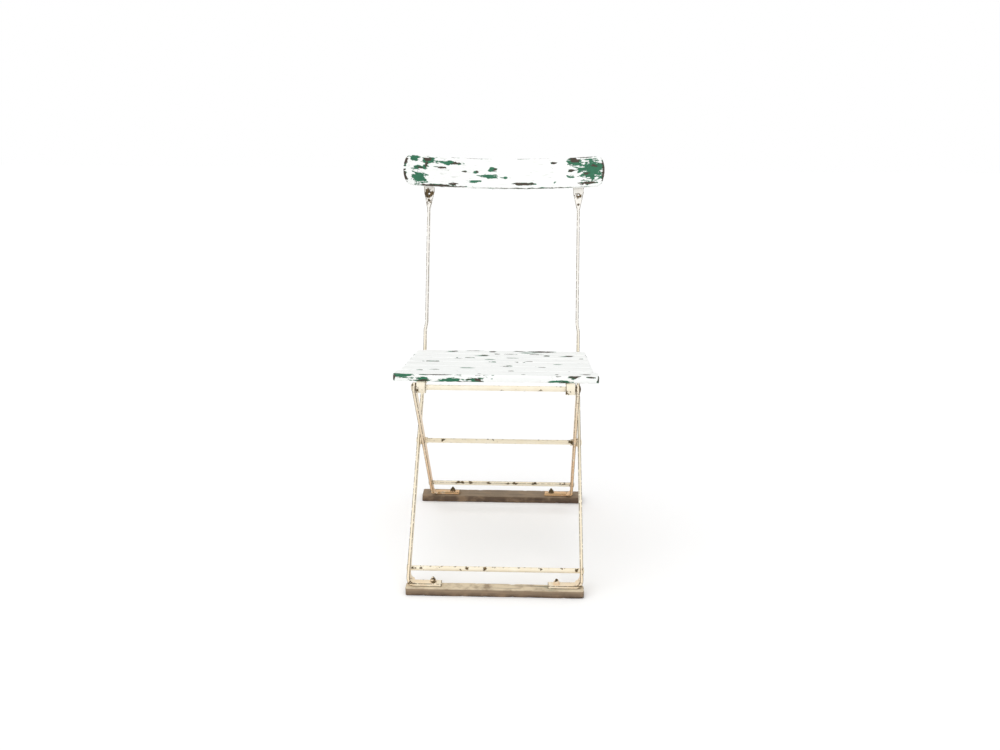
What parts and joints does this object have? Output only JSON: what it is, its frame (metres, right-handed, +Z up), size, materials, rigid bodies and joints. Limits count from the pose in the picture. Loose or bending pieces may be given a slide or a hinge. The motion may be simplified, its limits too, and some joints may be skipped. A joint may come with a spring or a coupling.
{
  "type": "folding chair",
  "caption": "Folding garden chair with a flat-iron X frame on two wooden skids, a slatted wooden seat and a curved wooden back slat.",
  "frame": {"origin": "on the floor, midway between the outer edges of the two skids, on the centre plane", "axes": "+X to the right of someone facing the chair's front, +Y to the rear, +Z up"},
  "size_m": [0.452, 0.529, 0.841],
  "materials": {
    "painted_wood": "flaking white paint over green paint and dark wood",
    "bare_wood": "bare weathered wood",
    "painted_iron": "cream paint with rust at the joints",
    "rusty_fasteners": "rusty iron with remains of paint"
  },
  "bodies": {
    "long_frame": {"back_screws": "rusty_fasteners", "back_slat": "painted_wood", "front_foot_bolts": "rusty_fasteners", "front_foot_nuts": "rusty_fasteners", "front_foot_washers": "rusty_fasteners", "front_skid": "bare_wood", "front_stretcher": "painted_iron", "left_long_bar": "painted_iron", "pivot_collars": "painted_iron", "pivot_rod": "painted_iron", "pivot_washers": "rusty_fasteners", "rear_seat_rod": "painted_iron", "right_long_bar": "painted_iron"},
    "short_frame": {"left_short_bar": "painted_iron", "right_short_bar": "painted_iron", "rear_stretcher": "painted_iron", "seat_hinge_rod": "painted_iron", "rear_skid": "bare_wood", "rear_foot_bolts": "rusty_fasteners", "rear_foot_washers": "rusty_fasteners", "rear_foot_nuts": "rusty_fasteners"},
    "seat": {"seat_slat_1": "painted_wood", "seat_slat_2": "painted_wood", "seat_slat_3": "painted_wood", "seat_slat_4": "painted_wood", "seat_slat_5": "painted_wood", "seat_slat_6": "painted_wood", "left_seat_rail": "painted_iron", "right_seat_rail": "painted_iron", "seat_screws": "rusty_fasteners"}
  },
  "joints": [
    {"name": "fold", "type": "hinge", "parent": "long_frame", "child": "short_frame", "pos_m": [0, -0.0354, 0.24653], "axis": [-1, 0, 0], "range_deg": [0, 79]},
    {"name": "seat_swing", "type": "hinge", "parent": "short_frame", "child": "seat", "pos_m": [0, -0.24, 0.42], "axis": [1, 0, 0], "range_deg": [0, 164.5]}
  ],
  "couplings": [
    {"joint": "seat_swing", "follows": "fold", "ratio": 2.076}
  ]
}
